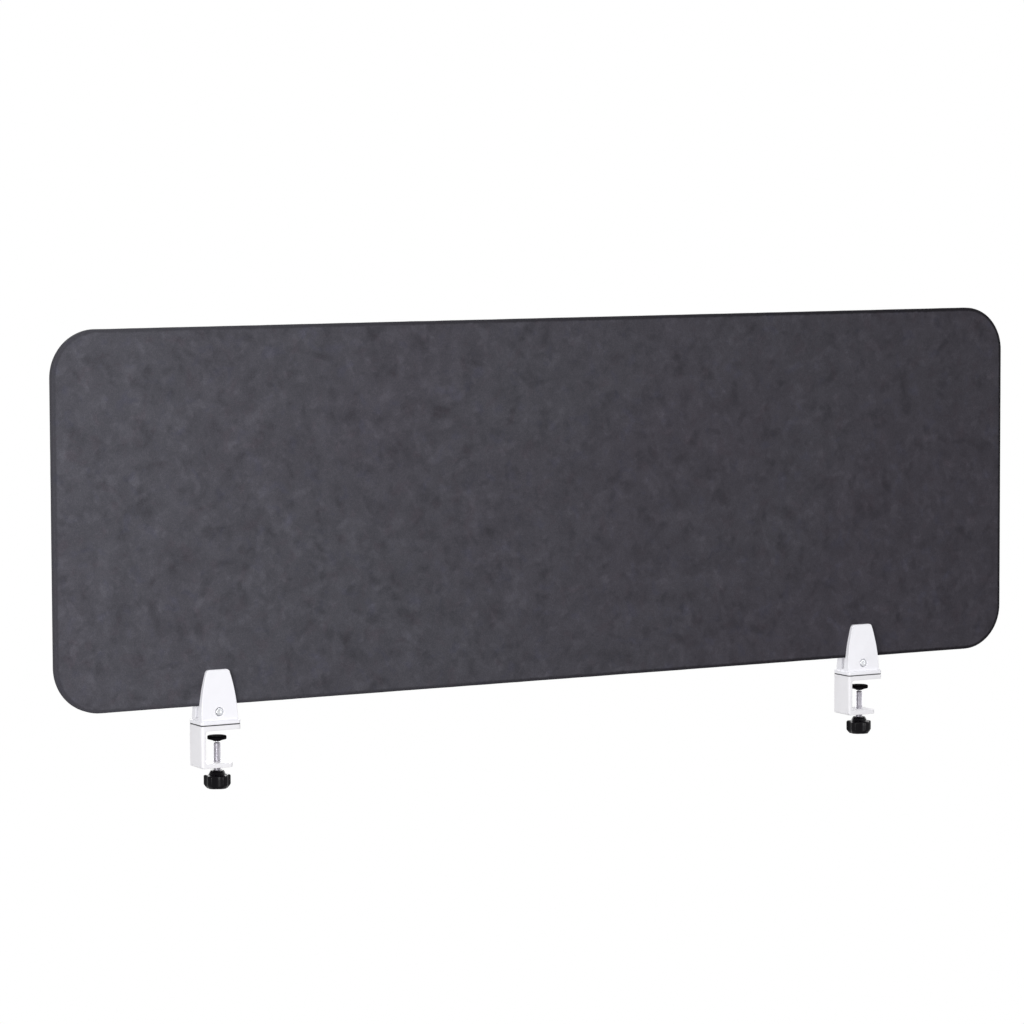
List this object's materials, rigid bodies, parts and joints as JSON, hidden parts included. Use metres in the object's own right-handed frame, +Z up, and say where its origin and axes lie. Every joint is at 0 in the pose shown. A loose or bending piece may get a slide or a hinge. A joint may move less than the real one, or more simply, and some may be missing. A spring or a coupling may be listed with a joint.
{
  "type": "acoustic desk divider screen",
  "caption": "Long felt board with rounded corners, held upright at a desk edge by forked clamps with swivelling C-shaped brackets and star-knob screws.",
  "frame": {"origin": "midway along the board, in its middle plane, at the height of the desk top, which is the underside of both clamps' upper jaws", "axes": "+X along the board to the viewer's right, +Y to the board's back, +Z up"},
  "size_m": [1.2, 0.032, 0.4891],
  "materials": {
    "felt": "needled charcoal felt, mottled",
    "white_fork": "white powder coat, satin",
    "white_bracket": "white powder coat, satin",
    "zinc_steel": "bright zinc plate",
    "screw_steel": "rolled thread, dull zinc plate",
    "dark_rubber": "matt",
    "black_rubber": "matt",
    "black_plastic": "moulded, fine grain",
    "knob_plastic": "moulded, semi-matt"
  },
  "bodies": {
    "screen": {"board": "felt", "left_fork": "white_fork", "left_pinch_bolt": "zinc_steel", "left_pinch_nut": "zinc_steel", "left_friction_pad": "dark_rubber", "left_swivel_screw": "zinc_steel", "right_fork": "white_fork", "right_pinch_bolt": "zinc_steel", "right_pinch_nut": "zinc_steel", "right_friction_pad": "dark_rubber", "right_swivel_screw": "zinc_steel"},
    "left_jaws": {"left_bracket": "white_bracket"},
    "left_pad": {"left_pad_shoe": "black_plastic", "left_pad_face": "black_rubber"},
    "left_screw": {"left_clamp_screw": "screw_steel", "left_knob": "knob_plastic", "left_knob_cap": "black_plastic"},
    "right_jaws": {"right_bracket": "white_bracket"},
    "right_pad": {"right_pad_shoe": "black_plastic", "right_pad_face": "black_rubber"},
    "right_screw": {"right_clamp_screw": "screw_steel", "right_knob": "knob_plastic", "right_knob_cap": "black_plastic"}
  },
  "joints": [
    {"name": "left_swivel", "type": "hinge", "parent": "screen", "child": "left_jaws", "pos_m": [-0.417, 0, 0.0025], "axis": [0, 0, 1], "continuous": true},
    {"name": "left_pad_travel", "type": "slide", "parent": "left_jaws", "child": "left_pad", "axis": [0, 0, 1], "range_m": [-0.01875, 0.00406]},
    {"name": "left_screw_turn", "type": "hinge", "parent": "left_pad", "child": "left_screw", "pos_m": [-0.415, 0, -0.0375], "axis": [0, 0, 1], "range_deg": [-5401, 1171]},
    {"name": "right_swivel", "type": "hinge", "parent": "screen", "child": "right_jaws", "pos_m": [0.4015, 0, 0.0025], "axis": [0, 0, 1], "continuous": true},
    {"name": "right_pad_travel", "type": "slide", "parent": "right_jaws", "child": "right_pad", "axis": [0, 0, 1], "range_m": [-0.01875, 0.00406]},
    {"name": "right_screw_turn", "type": "hinge", "parent": "right_pad", "child": "right_screw", "pos_m": [0.4035, 0, -0.0375], "axis": [0, 0, 1], "range_deg": [-5401, 1171]}
  ],
  "couplings": [
    {"joint": "left_screw_turn", "follows": "left_pad_travel", "rad_per_m": 5026.5},
    {"joint": "right_screw_turn", "follows": "right_pad_travel", "rad_per_m": 5026.5}
  ]
}
